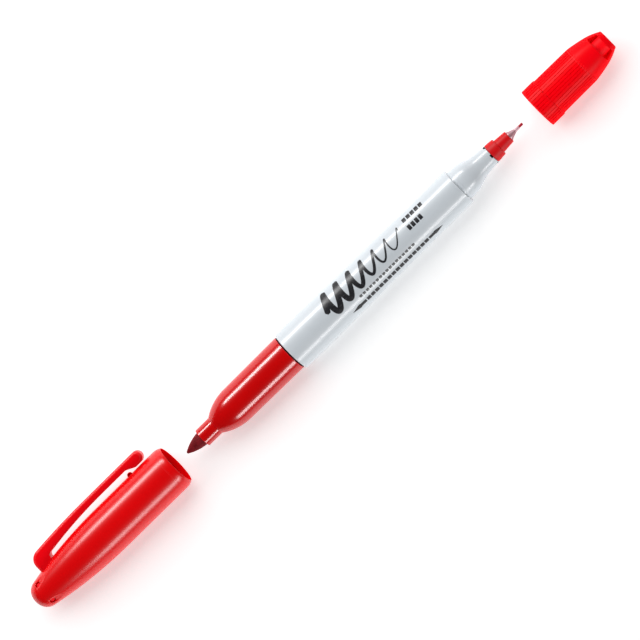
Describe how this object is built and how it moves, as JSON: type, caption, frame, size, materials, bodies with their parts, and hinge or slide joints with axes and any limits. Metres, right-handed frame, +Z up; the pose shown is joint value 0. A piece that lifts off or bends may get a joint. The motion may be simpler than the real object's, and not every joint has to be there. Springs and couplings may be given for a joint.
{
  "type": "twin-tip marker",
  "caption": "Slim twin-tip marker with a bullet nib at one end, an ultra-fine point at the other, a long clip cap and a short ribbed cap that pull off along its axis.",
  "frame": {"origin": "on the marker's axis, in the plane of the barrel's shoulder that stops the ultra-fine cap", "axes": "+X along the axis towards the ultra-fine point, +Y towards the side the pocket clip is on, +Z up"},
  "size_m": [0.2061, 0.0163, 0.0126],
  "materials": {
    "barrel_plastic": "smooth gloss, cool light grey",
    "section_plastic": "high gloss, deep red",
    "cap_plastic": "gloss, bright red",
    "nib_fibre": "pressed fibre soaked with red ink",
    "point_plastic": "smooth, stained with red ink",
    "holder_plastic": "satin red",
    "sleeve_metal": "turned metal stained by ink",
    "store_fibre": "bundled fibre soaked with red ink",
    "wrap_film": "thin film",
    "seal_plastic": "soft gloss red"
  },
  "bodies": {
    "marker": {"barrel": "barrel_plastic", "fine_section": "section_plastic", "bullet_nib": "nib_fibre", "reservoir_core": "store_fibre", "reservoir_wrap": "wrap_film", "feed_wick": "store_fibre", "ultra_fine_holder": "holder_plastic", "point_sleeve": "sleeve_metal", "ultra_fine_nib": "point_plastic"},
    "fine_cap": {"fine_cap_shell": "cap_plastic", "fine_cap_seal": "seal_plastic"},
    "clip": {"pocket_clip": "cap_plastic"},
    "ultra_fine_cap": {"ultra_fine_cap_shell": "cap_plastic", "ultra_fine_cap_seal": "seal_plastic"}
  },
  "joints": [
    {"name": "fine_cap_slide", "type": "slide", "parent": "marker", "child": "fine_cap", "axis": [1, 0, 0], "range_m": [0, 0.04165]},
    {"name": "ultra_fine_cap_slide", "type": "slide", "parent": "marker", "child": "ultra_fine_cap", "axis": [-1, 0, 0], "range_m": [0, 0.02785]},
    {"name": "clip_flex", "type": "hinge", "parent": "fine_cap", "child": "clip", "pos_m": [-0.14615, 0.00475, 0], "axis": [0, 0, 1], "range_deg": [0, 4], "stiffness_Nm_per_rad": 0.8}
  ]
}
